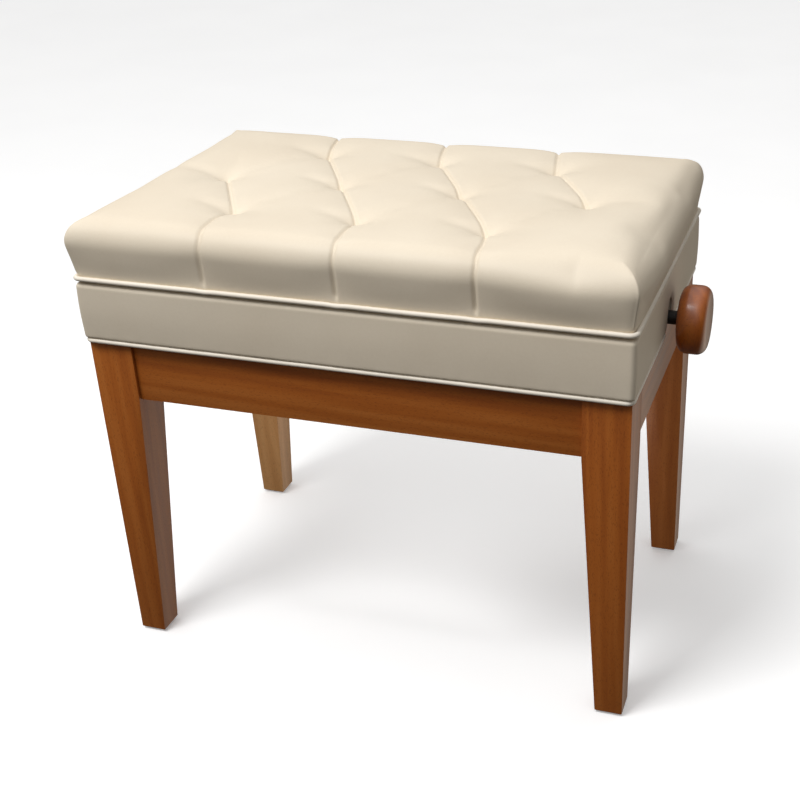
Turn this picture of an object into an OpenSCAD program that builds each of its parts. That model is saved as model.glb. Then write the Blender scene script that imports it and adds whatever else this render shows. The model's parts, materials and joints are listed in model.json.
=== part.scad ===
// Adjustable piano bench: a tufted seat with an upholstered skirt on a scissor lift,
// driven by a spindle with a wooden knob at each end, on a four-legged wooden frame.
// +X is the bench's long side, -Y its front, and the origin is on the floor under its centre.

/* [Seat] */
// Width of the upholstered skirt
seat_width = 560; // [540:5:600]
// Depth of the upholstered skirt
seat_depth = 350; // [340:5:380]
// Height of the cushion above its welt
cushion_height = 60; // [50:1:75]
// How far the cushion bulges past the skirt on each side
cushion_bulge = 5; // [2:0.5:6]
// Thickness of the plywood seat board
board_thickness = 12; // [12:1:15]
// Thickness of the plywood skirt boards
skirt_thickness = 12; // [9:1:12]
// Diameter of the welt cord
welt_diameter = 5; // [4:0.2:5]
// Spacing of the tufts along the bench
tuft_pitch = 130; // [120:1:136]
// Distance between the rows of tufts
tuft_row_gap = 97; // [96:1:100]

/* [Leg frame] */
// Height of the leg frame, floor to top
frame_height = 358.5; // [340:0.5:400]
// Side of a leg at the top
leg_top = 46; // [44:0.5:48]
// Side of a leg at the floor
leg_foot = 28.5; // [24:0.5:36]
// Height of the aprons
apron_height = 61.5; // [55:0.5:70]
// Thickness of the aprons
apron_thickness = 22; // [20:1:24]
// How far the legs stand inside the skirt, side to side
leg_inset_x = 3; // [2:0.5:4]
// How far the legs stand inside the skirt, front to back
leg_inset_y = 5.5; // [4:0.5:7]
// How far the aprons sit behind the faces of the legs
apron_recess = 4; // [2:0.5:5]

/* [Lift] */
// Travel of the seat, lowest to highest
lift_travel = 85; // [60:1:90]
// Length of a scissor arm between its end pivots
arm_length = 380; // [370:1:384]
// Height between the lower and the upper end pivots with the seat down
pivot_rise = 30; // [30:0.5:31]
// Height of the spindle above the leg frame
spindle_rise = 14.5; // [14.5:0.5:15]
// Diameter of the spindle
spindle_diameter = 14; // [12:0.5:14]

/* [Knobs] */
// Diameter of a knob
knob_diameter = 69; // [60:1:75]
// Thickness of a knob
knob_thickness = 30; // [28:1:34]
// Gap between the skirt and a knob
knob_gap = 10; // [8:1:14]

/* [Hidden] */
$fn = 64;

wood = [0.52, 0.29, 0.16];
pale_wood = [0.78, 0.64, 0.45];
vinyl = [0.91, 0.86, 0.78];
black_steel = [0.13, 0.13, 0.14];
zinc = [0.66, 0.67, 0.69];
nylon = [0.86, 0.85, 0.80];
foam_colour = [0.93, 0.89, 0.70];

eps = 0.01;
fit = 0.05;
half_w = seat_width / 2;
half_d = seat_depth / 2;

// Leg frame
leg_x = half_w - leg_inset_x;
leg_y = half_d - leg_inset_y;
apron_bottom = frame_height - apron_height;
apron_y = leg_y - apron_recess;
apron_x = leg_x - apron_recess;
apron_in_y = apron_y - apron_thickness;
apron_in_x = apron_x - apron_thickness;
leg_in_x = leg_x - leg_top;
leg_in_y = leg_y - leg_top;
leg_flat = 8;
glide_height = 2;
glide_radius = 10;
foot_chamfer = 1.5;
stem_radius = 1.6;
stem_length = 12;

// A corner brace lies across the corner; along its face x + y is constant
brace_sum = leg_in_x + leg_in_y + leg_flat;
brace_thickness = 20;
brace_height = 40;
brace_bottom = apron_bottom + (apron_height - brace_height) / 2;
bolt_radius = 3;
bolt_levels = [brace_bottom + 9, brace_bottom + brace_height - 9];
bolt_in_leg = 26;
nut_height = 6;
screw_radius = 2;
screw_head_radius = 4;
screw_head = 2.5;
screw_seat = 7.5;
brace_screw_offset = 15;

// Battens that carry the lift
batten_width = 24;
batten_height = 24;
batten_half = 68;

// Lift mechanism
steel = 3;
axis_z = frame_height + spindle_rise;
upper_z = axis_z + pivot_rise;
arm_start = -arm_length / 2;
arm_angle = asin(pivot_rise / arm_length);
arm_angle_up = asin((pivot_rise + lift_travel) / arm_length);
slide_x = arm_start + arm_length * cos(arm_angle);
slide_x_up = arm_start + arm_length * cos(arm_angle_up);
arm_width = 22;
arm_thickness = 5;
arm_b_y = 56;
arm_a_y = 62;
rail_y = 72;
rail_height = 28;
rail_flange = 11;
rail_half = 230;
upper_rail_half = 215;
bracket_flange = 28;
upper_flange = 24;
pin_radius = 5;
rivet_head_radius = 9;
rivet_head = 3;
rod_radius = 7;
rod_head = 3;
roller_radius = 7;
roller_width = 4;
slot_play = 0.8;
slot_end_play = 1.5;
centre_play = 1.2;
clip_radius = 8;
clip_thickness = 1.2;
rod_half = 79;
nut_bar_side = 18;
nut_bar_half = 54;
thread_radius = 6.2;
thread_start = 150;
nut_radius = 7;
spindle_radius = spindle_diameter / 2;
bush_radius = 10;
bush_flange_radius = 13;
bush_flange = 2;
collar_radius = 13;
collar_width = 9;

// Knobs
knob_in = half_w + knob_gap;
knob_edge = 9;
insert_radius = 7;
insert_length = 18;
stub_radius = 5;

// Skirt and seat
skirt_bottom = frame_height + 5.5;
skirt_top = frame_height + 64.5;
cover_t = 1;
board_z = frame_height + 66.5;
board_top = board_z + board_thickness;
wadding = 6;
sboard_x = half_w - wadding;
sboard_y = half_d - wadding;
sboard_in_x = sboard_x - skirt_thickness;
sboard_in_y = sboard_y - skirt_thickness;
sboard_bottom = skirt_bottom + 2;
sboard_top = board_z - cover_t;
board_inset = 8;
board_corner = 15;
turn_in = 26;
skirt_corner = 5;
notch_radius = 14;
notch_centre = axis_z + 7;
cushion_foot = skirt_top + 7.3;
cushion_top = cushion_foot + cushion_height - 0.3;
cushion_edge = 26;
cushion_corner = 10;
cover_skin = 2;
welt_r = welt_diameter / 2;
upper_welt_z = skirt_top + 4.8;
lower_welt_z = frame_height + 0.4 + welt_r;
welt_inset = 0.5;
lower_welt_inset = 2.5;
welt_corner = 8;
tie_radius = 1.25;
tie_hole = 2.5;
tie_top = cushion_top - 20;
anchor_radius = 8;
anchor_t = 1.5;
row_shift = 8;
tee_radius = 4;
tee_flange_radius = 9;
tee_flange = 1.5;
machine_screw_radius = 3;
machine_head_radius = 5;
machine_head = 3;
upper_bracket_top_screw_y = 45;
rail_screw_x = 120;

// Where the tufts are: three rows, the middle one staggered by half a pitch
TUFTS = concat(
    [for (i = [-1:1]) [i * tuft_pitch - row_shift, -tuft_row_gap]],
    [for (i = [-1.5:1.5]) [i * tuft_pitch, 0]],
    [for (i = [-1:1]) [i * tuft_pitch + row_shift, tuft_row_gap]]
);
// Where screws hold the upper frame to the seat board
UPPER_SCREWS = concat(
    [for (sx = [-1, 1], sy = [-1, 1])
        [sx * rail_screw_x, sy * (rail_y + steel + rail_flange / 2)]],
    [for (sx = [-1, 1], sy = [-1, 1])
        [sx * (upper_rail_half + steel + upper_flange / 2), sy * upper_bracket_top_screw_y]]
);

// ---- helpers ----

module flip(v, on) {
    if (on) mirror(v) children();
    else children();
}

module each_side_x() {
    for (on = [false, true]) flip([1, 0, 0], on) children();
}

module each_side_y() {
    for (on = [false, true]) flip([0, 1, 0], on) children();
}

module each_corner() {
    each_side_x() each_side_y() children();
}

// Rounded rectangle of half sizes hx and hy
module rounded(hx, hy, r) {
    square([2 * hx - 2 * r, 2 * hy], center = true);
    square([2 * hx, 2 * hy - 2 * r], center = true);
    for (sx = [-1, 1], sy = [-1, 1]) translate([sx * (hx - r), sy * (hy - r)]) circle(r);
}

// Cylinders that start at the local origin and run along one axis
module along_x(r, h) {
    rotate([0, 90, 0]) cylinder(r = r, h = h);
}

module along_y(r, h) {
    rotate([-90, 0, 0]) cylinder(r = r, h = h);
}

module diagonal(r, h) {
    rotate([0, 90, 45]) cylinder(r = r, h = h);
}

// ---- wooden leg frame ----

// The rear right leg: square at the apron, tapered below it on the two inner faces
module leg() {
    color(wood) difference() {
        intersection() {
            translate([0, leg_y, 0]) rotate([90, 0, 0]) linear_extrude(leg_top)
                polygon(leg_profile(leg_x));
            translate([leg_in_x, 0, 0]) rotate([90, 0, 90]) linear_extrude(leg_top)
                polygon(leg_profile(leg_y));
        }
        // flat that the corner brace pulls against
        translate([leg_in_x, leg_in_y, apron_bottom]) linear_extrude(apron_height + 1)
            polygon([[-1, -1], [leg_flat, 0], [0, leg_flat]]);
        for (z = bolt_levels) translate([leg_in_x, leg_in_y, z]) diagonal(bolt_radius, bolt_in_leg + 6);
        translate([leg_x - leg_foot / 2, leg_y - leg_foot / 2, 0])
            cylinder(r = stem_radius, h = glide_height + stem_length);
    }
}

function leg_profile(outer) = [
    [outer - foot_chamfer, glide_height],
    [outer, glide_height + foot_chamfer],
    [outer, frame_height],
    [outer - leg_top, frame_height],
    [outer - leg_top, apron_bottom],
    [outer - leg_foot, glide_height + foot_chamfer],
    [outer - leg_foot + foot_chamfer, glide_height]
];

module apron_long() {
    color(wood) difference() {
        translate([-leg_in_x, apron_in_y, apron_bottom])
            cube([2 * leg_in_x, apron_thickness, apron_height]);
        each_side_x() translate([brace_screw_x, apron_in_y - eps, brace_mid]) along_y(screw_radius, 14);
    }
}

module apron_short() {
    color(wood) difference() {
        translate([apron_in_x, -leg_in_y, apron_bottom])
            cube([apron_thickness, 2 * leg_in_y, apron_height]);
        each_side_y() translate([apron_in_x - eps, brace_screw_y, brace_mid]) along_x(screw_radius, 14);
        each_side_y() translate([apron_in_x - eps, batten_screw_y, batten_screw_z]) along_x(screw_radius, 14);
    }
}

brace_mid = brace_bottom + brace_height / 2;
brace_in_sum = brace_sum - brace_thickness * sqrt(2);
brace_screw_x = brace_in_sum - apron_in_y + brace_screw_offset;
brace_screw_y = brace_in_sum - apron_in_x + brace_screw_offset;
batten_screw_y = 48;
batten_screw_z = frame_height - batten_height / 2;
batten_in_x = apron_in_x - batten_width;

module corner_brace() {
    difference() {
        translate([0, 0, brace_bottom]) linear_extrude(brace_height) polygon([
            [apron_in_x, brace_sum - apron_in_x],
            [apron_in_x, brace_in_sum - apron_in_x],
            [brace_in_sum - apron_in_y, apron_in_y],
            [brace_sum - apron_in_y, apron_in_y]
        ]);
        for (z = bolt_levels) translate([leg_in_x - 30, leg_in_y - 30, z]) diagonal(bolt_radius + 0.4, 60);
        translate([brace_screw_x, apron_in_y, brace_mid]) rotate([90, 0, 0]) screw_hole();
        translate([apron_in_x, brace_screw_y, brace_mid]) rotate([0, -90, 0]) screw_hole();
    }
}

// Clearance hole with a counterbore that opens away from the joint
module screw_hole() {
    translate([0, 0, -eps]) cylinder(r = screw_radius + 0.2, h = 40);
    translate([0, 0, screw_seat]) cylinder(r = screw_head_radius + 0.5, h = 30);
}

// A pan head wood screw whose head sits at the local origin and whose tip points down
module wood_screw(length) {
    cylinder(r = screw_head_radius, h = screw_head);
    translate([0, 0, -length]) cylinder(r = screw_radius, h = length + eps);
}

module corner_braces() {
    color(pale_wood) each_corner() corner_brace();
}

module hanger_bolts() {
    start = brace_thickness - leg_flat / sqrt(2) + nut_height + 4;
    color(zinc) each_corner() for (z = bolt_levels) translate([
        leg_in_x - start / sqrt(2),
        leg_in_y - start / sqrt(2), z
    ]) diagonal(bolt_radius, start + bolt_in_leg);
}

module brace_nuts() {
    face = brace_thickness - leg_flat / sqrt(2);
    color(zinc) each_corner() for (z = bolt_levels) translate([
        leg_in_x - (face + nut_height) / sqrt(2),
        leg_in_y - (face + nut_height) / sqrt(2), z
    ]) difference() {
        union() {
            rotate([0, 90, 45]) cylinder(r = 5.8, h = nut_height, $fn = 6);
            rotate([0, 90, 45]) translate([0, 0, nut_height - 1.5]) cylinder(r = 8.5, h = 1.5);
        }
        translate([-1, -1, 0]) diagonal(bolt_radius + fit, 20);
    }
}

module wood_screws() {
    color(zinc) {
        each_corner() {
            translate([brace_screw_x, apron_in_y - screw_seat, brace_mid]) rotate([90, 0, 0])
                wood_screw(20);
            translate([apron_in_x - screw_seat, brace_screw_y, brace_mid]) rotate([0, -90, 0])
                wood_screw(20);
            translate([batten_in_x, batten_screw_y, batten_screw_z]) rotate([0, -90, 0])
                wood_screw(batten_width + 12);
        }
        each_corner() for (y = BASE_SCREW_Y) translate([base_screw_x, y, frame_height + steel])
            wood_screw(18);
    }
}

module support_battens() {
    color(pale_wood) each_side_x() difference() {
        translate([batten_in_x, -batten_half, frame_height - batten_height])
            cube([batten_width, 2 * batten_half, batten_height]);
        each_side_y() translate([batten_in_x - eps, batten_screw_y, batten_screw_z])
            along_x(screw_radius + 0.1, batten_width + 1);
        each_side_y() for (y = BASE_SCREW_Y) translate([base_screw_x, y, frame_height - 16])
            cylinder(r = screw_radius, h = 20);
    }
}

module floor_glides() {
    color(black_steel) each_corner() translate([leg_x - leg_foot / 2, leg_y - leg_foot / 2, 0]) {
        cylinder(r = glide_radius, h = glide_height);
        cylinder(r = stem_radius, h = glide_height + stem_length - 1);
    }
}

// ---- fixed base of the lift ----

base_screw_x = batten_in_x + 14;
BASE_SCREW_Y = [26, 62];

// Angle that carries a spindle bush and the rail ends: flange on the frame, web upright
module base_bracket() {
    color(black_steel) difference() {
        union() {
            translate([rail_half, -rail_y - steel - rail_flange, frame_height])
                cube([steel + bracket_flange, 2 * (rail_y + steel + rail_flange), steel]);
            translate([rail_half, -rail_y - steel, frame_height])
                cube([steel, 2 * (rail_y + steel), rail_height]);
        }
        translate([rail_half - 1, 0, axis_z]) along_x(bush_radius, steel + 2);
        each_side_y() for (y = BASE_SCREW_Y) translate([base_screw_x, y, frame_height - 1])
            cylinder(r = screw_radius + 0.2, h = steel + 2);
    }
}

// Angle rail with a pivot hole at the left and a roller slot at the right
module base_rail() {
    color(black_steel) difference() {
        union() {
            translate([-rail_half, rail_y, frame_height]) cube([2 * rail_half, steel, rail_height]);
            translate([-rail_half, rail_y, frame_height])
                cube([2 * rail_half, steel + rail_flange, steel]);
        }
        translate([arm_start, rail_y - 1, axis_z]) along_y(pin_radius, steel + 2);
        translate([0, 0, axis_z]) roller_slot();
    }
}

module roller_slot() {
    r = roller_radius + slot_play;
    first = slide_x_up - slot_end_play;
    last = slide_x + slot_end_play;
    for (x = [first, last]) translate([x, rail_y - 1, 0]) along_y(r, steel + 2);
    translate([first, rail_y - 1, -r]) cube([last - first, steel + 2, 2 * r]);
}

module spindle_bushes() {
    color(nylon) each_side_x() difference() {
        union() {
            translate([rail_half - bush_flange, 0, axis_z]) along_x(bush_flange_radius, bush_flange);
            translate([rail_half - bush_flange, 0, axis_z]) along_x(bush_radius, 12);
        }
        translate([rail_half - 10, 0, axis_z]) along_x(spindle_radius + fit, 40);
    }
}

// A shouldered rivet through a rail, a spacer and an arm that starts at arm_y
module rivet(arm_y) {
    translate([0, arm_y - rivet_head, 0]) along_y(rivet_head_radius, rivet_head - 0.1);
    translate([0, arm_y - rivet_head, 0]) along_y(pin_radius, rail_y + steel + rivet_head - arm_y);
    translate([0, rail_y + steel, 0]) along_y(rivet_head_radius, rivet_head);
}

module spacer(arm_y) {
    translate([0, arm_y + arm_thickness + 0.1, 0]) difference() {
        along_y(8, rail_y - arm_y - arm_thickness - 0.1);
        translate([0, -1, 0]) along_y(pin_radius + fit, rail_y);
    }
}

module lower_pivot_rivets() {
    color(zinc) each_side_y() translate([arm_start, 0, axis_z]) rivet(arm_a_y);
}

module lower_pivot_spacers() {
    color(nylon) each_side_y() translate([arm_start, 0, axis_z]) spacer(arm_a_y);
}

// ---- scissor arms ----

// Flat bar along +X with rounded ends; the play in the centre hole opens the linkage there
module arm(centre_radius, start_radius, end_radius) {
    color(black_steel) translate([0, arm_thickness, 0]) rotate([90, 0, 0])
        linear_extrude(arm_thickness) difference() {
            union() {
                translate([0, -arm_width / 2]) square([arm_length, arm_width]);
                circle(arm_width / 2);
                translate([arm_length, 0]) circle(arm_width / 2);
            }
            circle(start_radius);
            translate([arm_length / 2, 0]) circle(centre_radius);
            translate([arm_length, 0]) circle(end_radius);
        }
}

module scissor_arm_a() {
    translate([arm_start, arm_a_y, axis_z]) rotate([0, -arm_angle, 0])
        arm(pin_radius, pin_radius + fit, pin_radius);
}

module scissor_arm_b() {
    translate([arm_start, arm_b_y, upper_z]) rotate([0, arm_angle, 0])
        arm(pin_radius + centre_play, pin_radius + fit, pin_radius + fit);
}

module centre_rod() {
    x = arm_start + arm_length / 2 * cos(arm_angle);
    z = axis_z + pivot_rise / 2;
    head_start = arm_a_y + arm_thickness;
    color(zinc) translate([x, 0, z]) {
        translate([0, -head_start, 0]) along_y(pin_radius, 2 * head_start);
        each_side_y() translate([0, head_start, 0]) along_y(clip_radius, rod_head);
    }
}

module slide_rod() {
    color(zinc) translate([slide_x, 0, upper_z]) {
        translate([0, -rod_half, 0]) along_y(pin_radius, 2 * rod_half);
        translate([0, -arm_a_y, 0]) along_y(rod_radius, 2 * arm_a_y);
    }
}

// Flanged nylon roller on a pin; its hub fills the space beside the arm
module roller(hub_start) {
    translate([0, hub_start, 0]) difference() {
        union() {
            along_y(roller_radius - 0.8, rail_y - hub_start);
            translate([0, rail_y - hub_start - 0.5, 0]) along_y(roller_radius, roller_width);
        }
        translate([0, -1, 0]) along_y(pin_radius + fit, 40);
    }
}

module slide_rollers() {
    color(nylon) each_side_y() translate([slide_x, 0, upper_z]) roller(arm_a_y + arm_thickness + 0.3);
}

module clip() {
    translate([0, rail_y + steel + 0.8, 0]) difference() {
        along_y(clip_radius, clip_thickness);
        translate([0, -1, 0]) along_y(pin_radius, clip_thickness + 2);
    }
}

module slide_clips() {
    color(zinc) each_side_y() translate([slide_x, 0, upper_z]) clip();
}

// ---- drive ----

// Square bar with the spindle's thread in its middle and a journal at each end
module nut_bar() {
    color(black_steel) translate([slide_x, 0, axis_z]) difference() {
        union() {
            translate([-nut_bar_side / 2, -nut_bar_half, -nut_bar_side / 2])
                cube([nut_bar_side, 2 * nut_bar_half, nut_bar_side]);
            translate([0, -rod_half, 0]) along_y(pin_radius, 2 * rod_half);
        }
        translate([-nut_bar_side, 0, 0]) along_x(nut_radius, 2 * nut_bar_side);
    }
}

module nut_rollers() {
    color(nylon) each_side_y() translate([slide_x, 0, axis_z]) roller(arm_b_y + arm_thickness + 0.3);
}

module nut_clips() {
    color(zinc) each_side_y() translate([slide_x, 0, axis_z]) clip();
}

// The screw thread on the right is a plain cylinder at its pitch diameter
module spindle() {
    thread_end = rail_half - bush_flange - collar_width - 2;
    end_x = knob_in + 16;
    color(zinc) translate([0, 0, axis_z]) {
        translate([-knob_in, 0, 0]) along_x(spindle_radius, knob_in + thread_start);
        translate([-end_x, 0, 0]) along_x(stub_radius, 2 * end_x);
        translate([thread_start, 0, 0]) along_x(thread_radius, thread_end - thread_start);
        translate([thread_end, 0, 0]) along_x(spindle_radius, knob_in - thread_end);
    }
}

module thrust_collars() {
    x = rail_half - bush_flange - 0.3 - collar_width;
    color(zinc) each_side_x() translate([x, 0, axis_z]) difference() {
        along_x(collar_radius, collar_width);
        translate([-1, 0, 0]) along_x(spindle_radius, collar_width + 2);
    }
}

// Turned disc with well rounded rims and a blind hole for its insert
module knob() {
    r = knob_diameter / 2;
    color(wood) translate([knob_in, 0, axis_z]) rotate([0, 90, 0]) difference() {
        rotate_extrude() {
            square([r - knob_edge, knob_thickness]);
            translate([0, knob_edge]) square([r, knob_thickness - 2 * knob_edge]);
            for (h = [knob_edge, knob_thickness - knob_edge])
                translate([r - knob_edge, h]) circle(knob_edge);
        }
        translate([0, 0, -1]) cylinder(r = insert_radius, h = insert_length + 1);
    }
}

module knob_inserts() {
    color(zinc) each_side_x() translate([knob_in, 0, axis_z]) difference() {
        along_x(insert_radius, insert_length);
        translate([-1, 0, 0]) along_x(stub_radius, 17);
    }
}

// ---- upper frame of the lift ----

module upper_rail() {
    top_flange = rail_y + steel + rail_flange / 2;
    color(black_steel) difference() {
        union() {
            translate([-upper_rail_half, rail_y, rail_low])
                cube([2 * upper_rail_half, steel, board_z - rail_low]);
            translate([-upper_rail_half, rail_y, board_z - steel])
                cube([2 * upper_rail_half, steel + rail_flange, steel]);
        }
        translate([arm_start, rail_y - 1, upper_z]) along_y(pin_radius, steel + 2);
        translate([0, 0, upper_z]) roller_slot();
        each_side_x() translate([rail_screw_x, top_flange, board_z - steel - 1])
            cylinder(r = machine_screw_radius + 0.3, h = steel + 2);
    }
}

rail_low = frame_height + rail_height + 4;

module upper_bracket() {
    web_low = board_z - 25;
    color(black_steel) difference() {
        union() {
            translate([upper_rail_half, -rail_y - steel - rail_flange, web_low])
                cube([steel, 2 * (rail_y + steel + rail_flange), board_z - web_low]);
            translate([upper_rail_half, -rail_y - steel - rail_flange, board_z - steel])
                cube([steel + upper_flange, 2 * (rail_y + steel + rail_flange), steel]);
        }
        each_side_y() translate([upper_rail_half + steel + upper_flange / 2,
            upper_bracket_top_screw_y, board_z - steel - 1])
            cylinder(r = machine_screw_radius + 0.3, h = steel + 2);
    }
}

module upper_pivot_rivets() {
    color(zinc) each_side_y() translate([arm_start, 0, upper_z]) rivet(arm_b_y);
}

module upper_pivot_spacers() {
    color(nylon) each_side_y() translate([arm_start, 0, upper_z]) spacer(arm_b_y);
}

module upper_screws() {
    color(zinc) for (p = UPPER_SCREWS) translate([p[0], p[1], board_z - steel]) {
        translate([0, 0, -machine_head]) cylinder(r = machine_head_radius, h = machine_head);
        cylinder(r = machine_screw_radius, h = steel + board_thickness - 1);
    }
}

module tee_nuts() {
    color(zinc) for (p = UPPER_SCREWS) translate([p[0], p[1], board_z]) difference() {
        union() {
            translate([0, 0, 1]) cylinder(r = tee_radius, h = board_thickness - 1);
            translate([0, 0, board_thickness - tee_flange])
                cylinder(r = tee_flange_radius, h = tee_flange);
        }
        translate([0, 0, -1]) cylinder(r = machine_screw_radius + fit, h = board_thickness + 2);
    }
}

// ---- seat ----

module seat_board() {
    color(pale_wood) difference() {
        translate([0, 0, board_z]) linear_extrude(board_thickness)
            rounded(half_w - board_inset, half_d - board_inset, board_corner);
        for (p = TUFTS) translate([p[0], p[1], board_z - 1])
            cylinder(r = tie_hole, h = board_thickness + 2);
        for (p = UPPER_SCREWS) translate([p[0], p[1], board_z]) {
            translate([0, 0, -1]) cylinder(r = tee_radius, h = board_thickness + 2);
            translate([0, 0, board_thickness - tee_flange])
                cylinder(r = tee_flange_radius, h = tee_flange + 1);
        }
        for (p = BRACKETS) translate([p[0], p[1], 0]) rotate([0, 0, p[2]])
            translate([0, bracket_screw_in, board_z - 1]) cylinder(r = 1.6, h = 10);
    }
}

// Plain outline of the stuffed cushion, every face moved in by t: widest at its belly,
// straight in from there down to the welt, and rolled over above it
module cushion_form(t) {
    hull() {
        translate([0, 0, cushion_foot]) linear_extrude(1)
            rounded(half_w - 1 - t, half_d - 1 - t, cushion_corner - 2 - t, $fn = 32);
        for (a = [0:15:90]) {
            reach = cushion_bulge - cushion_edge + (cushion_edge - t) * cos(a);
            translate([0, 0, cushion_top - cushion_edge + (cushion_edge - t) * sin(a) - eps])
                linear_extrude(eps)
                    rounded(half_w + reach, half_d + reach, cushion_corner - t, $fn = 32);
        }
    }
}

module seat_foam() {
    color(foam_colour) difference() {
        intersection() {
            cushion_form(cover_skin + 0.2);
            translate([-seat_width, -seat_depth, board_top])
                cube([2 * seat_width, 2 * seat_depth, cushion_height]);
        }
        for (p = TUFTS) translate([p[0], p[1], board_top - 1])
            cylinder(r = tie_hole, h = tie_top - board_top + 2);
    }
}

// Vinyl cover: top and sides over the foam, wrapped round the board's edge and under it
module seat_cover() {
    color(vinyl) difference() {
        union() {
            cushion_form(0);
            translate([0, 0, sboard_top]) linear_extrude(cushion_foot + 0.5 - sboard_top)
                rounded(half_w - 3, half_d - 3, cushion_corner - 4);
        }
        intersection() {
            cushion_form(cover_skin);
            translate([-seat_width, -seat_depth, board_top - eps])
                cube([2 * seat_width, 2 * seat_depth, cushion_height]);
        }
        translate([0, 0, board_z]) linear_extrude(board_thickness)
            rounded(half_w - board_inset + fit, half_d - board_inset + fit, board_corner);
        translate([0, 0, sboard_top - 1]) linear_extrude(3)
            rounded(half_w - turn_in, half_d - turn_in, 4);
    }
}

// Round cord along a rounded rectangle
module welt_ring(hx, hy, z) {
    translate([0, 0, z]) {
        each_corner() translate([hx - welt_corner, hy - welt_corner, 0])
            rotate_extrude(angle = 90) translate([welt_corner, 0]) circle(welt_r);
        each_side_y() translate([welt_corner - hx, hy, 0]) along_x(welt_r, 2 * (hx - welt_corner));
        each_side_x() translate([hx, welt_corner - hy, 0]) along_y(welt_r, 2 * (hy - welt_corner));
    }
}

module upper_welt() {
    color(vinyl) welt_ring(half_w - welt_inset, half_d - welt_inset, upper_welt_z);
}

module lower_welt() {
    color(vinyl) difference() {
        welt_ring(half_w - lower_welt_inset, half_d - lower_welt_inset, lower_welt_z);
        translate([-seat_width, -notch_radius, lower_welt_z - 5])
            cube([2 * seat_width, 2 * notch_radius, 10]);
    }
}

module tuft_ties() {
    color(foam_colour) for (p = TUFTS) translate([p[0], p[1], board_z])
        cylinder(r = tie_radius, h = tie_top - board_z);
}

module tuft_anchors() {
    color(nylon) for (p = TUFTS) translate([p[0], p[1], board_z - anchor_t])
        cylinder(r = anchor_radius, h = anchor_t);
}

// ---- skirt ----

module skirt_board_long() {
    color(pale_wood) difference() {
        translate([-sboard_x, sboard_in_y, sboard_bottom])
            cube([2 * sboard_x, skirt_thickness, sboard_top - sboard_bottom]);
        for (p = BRACKETS) bracket_side_hole(p);
    }
}

module skirt_board_short() {
    color(pale_wood) difference() {
        translate([sboard_in_x, -sboard_in_y, sboard_bottom])
            cube([skirt_thickness, 2 * sboard_in_y, sboard_top - sboard_bottom]);
        spindle_notch();
        for (p = BRACKETS) bracket_side_hole(p);
    }
}

// Arched notch, open at the bottom, that lets the skirt lift off the spindle
module spindle_notch() {
    translate([0, 0, notch_centre]) along_x(notch_radius, seat_width);
    translate([0, -notch_radius, skirt_bottom - 10])
        cube([seat_width, 2 * notch_radius, notch_centre - skirt_bottom + 10]);
}

module skirt_blocks() {
    size = 24;
    color(pale_wood) each_corner() translate([sboard_in_x, sboard_in_y, sboard_bottom + 4])
        linear_extrude(sboard_top - sboard_bottom - 4) polygon([[0, 0], [-size, 0], [0, -size]]);
}

// Brackets join the skirt to the seat board. Each entry is a place on the inner face of a
// skirt board and the turn that points the bracket's local +Y to the middle of the bench.
bracket_leg = 28;
bracket_t = 2;
bracket_width = 20;
bracket_screw_in = 20;
bracket_screw_down = 18;
bracket_x = 160;
bracket_y = 108;
BRACKETS = concat(
    [for (sx = [-1, 1]) [sx * bracket_x, -sboard_in_y, 0]],
    [for (sx = [-1, 1]) [sx * bracket_x, sboard_in_y, 180]],
    [for (sy = [-1, 1]) [sboard_in_x, sy * bracket_y, 90]],
    [for (sy = [-1, 1]) [-sboard_in_x, sy * bracket_y, -90]]
);

module at_bracket(p) {
    translate([p[0], p[1], sboard_top]) rotate([0, 0, p[2]]) children();
}

module bracket_side_hole(p) {
    at_bracket(p) translate([0, 0, -bracket_screw_down]) rotate([90, 0, 0])
        cylinder(r = 1.6, h = 9);
}

module skirt_brackets() {
    color(zinc) for (p = BRACKETS) at_bracket(p) difference() {
        union() {
            translate([-bracket_width / 2, 0, -bracket_leg]) cube([bracket_width, bracket_t, bracket_leg]);
            translate([-bracket_width / 2, 0, -bracket_t]) cube([bracket_width, bracket_leg, bracket_t]);
        }
        translate([0, bracket_screw_in, -bracket_t - 1]) cylinder(r = 1.8, h = bracket_t + 2);
        translate([0, bracket_t + 1, -bracket_screw_down]) rotate([90, 0, 0])
            cylinder(r = 1.8, h = bracket_t + 2);
    }
}

module skirt_screws() {
    color(zinc) for (p = BRACKETS) at_bracket(p) {
        translate([0, bracket_screw_in, -bracket_t]) {
            translate([0, 0, -2]) cylinder(r = 3.5, h = 2);
            cylinder(r = 1.6, h = 10);
        }
        translate([0, bracket_t, -bracket_screw_down]) {
            rotate([-90, 0, 0]) cylinder(r = 3.5, h = 2);
            rotate([90, 0, 0]) cylinder(r = 1.6, h = 10);
        }
    }
}

// Wadding and vinyl round the skirt boards, turned in under their lower edge
module skirt_cover() {
    color(vinyl) difference() {
        translate([0, 0, skirt_bottom]) linear_extrude(skirt_top - skirt_bottom)
            rounded(half_w, half_d, skirt_corner);
        translate([0, 0, sboard_bottom - 0.1]) linear_extrude(100)
            square([2 * sboard_x + 0.2, 2 * sboard_y + 0.2], center = true);
        translate([0, 0, skirt_bottom - 1]) linear_extrude(10)
            square([2 * sboard_in_x + 8, 2 * sboard_in_y + 8], center = true);
        each_side_x() spindle_notch();
    }
}

// ---- nodes ----

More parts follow.
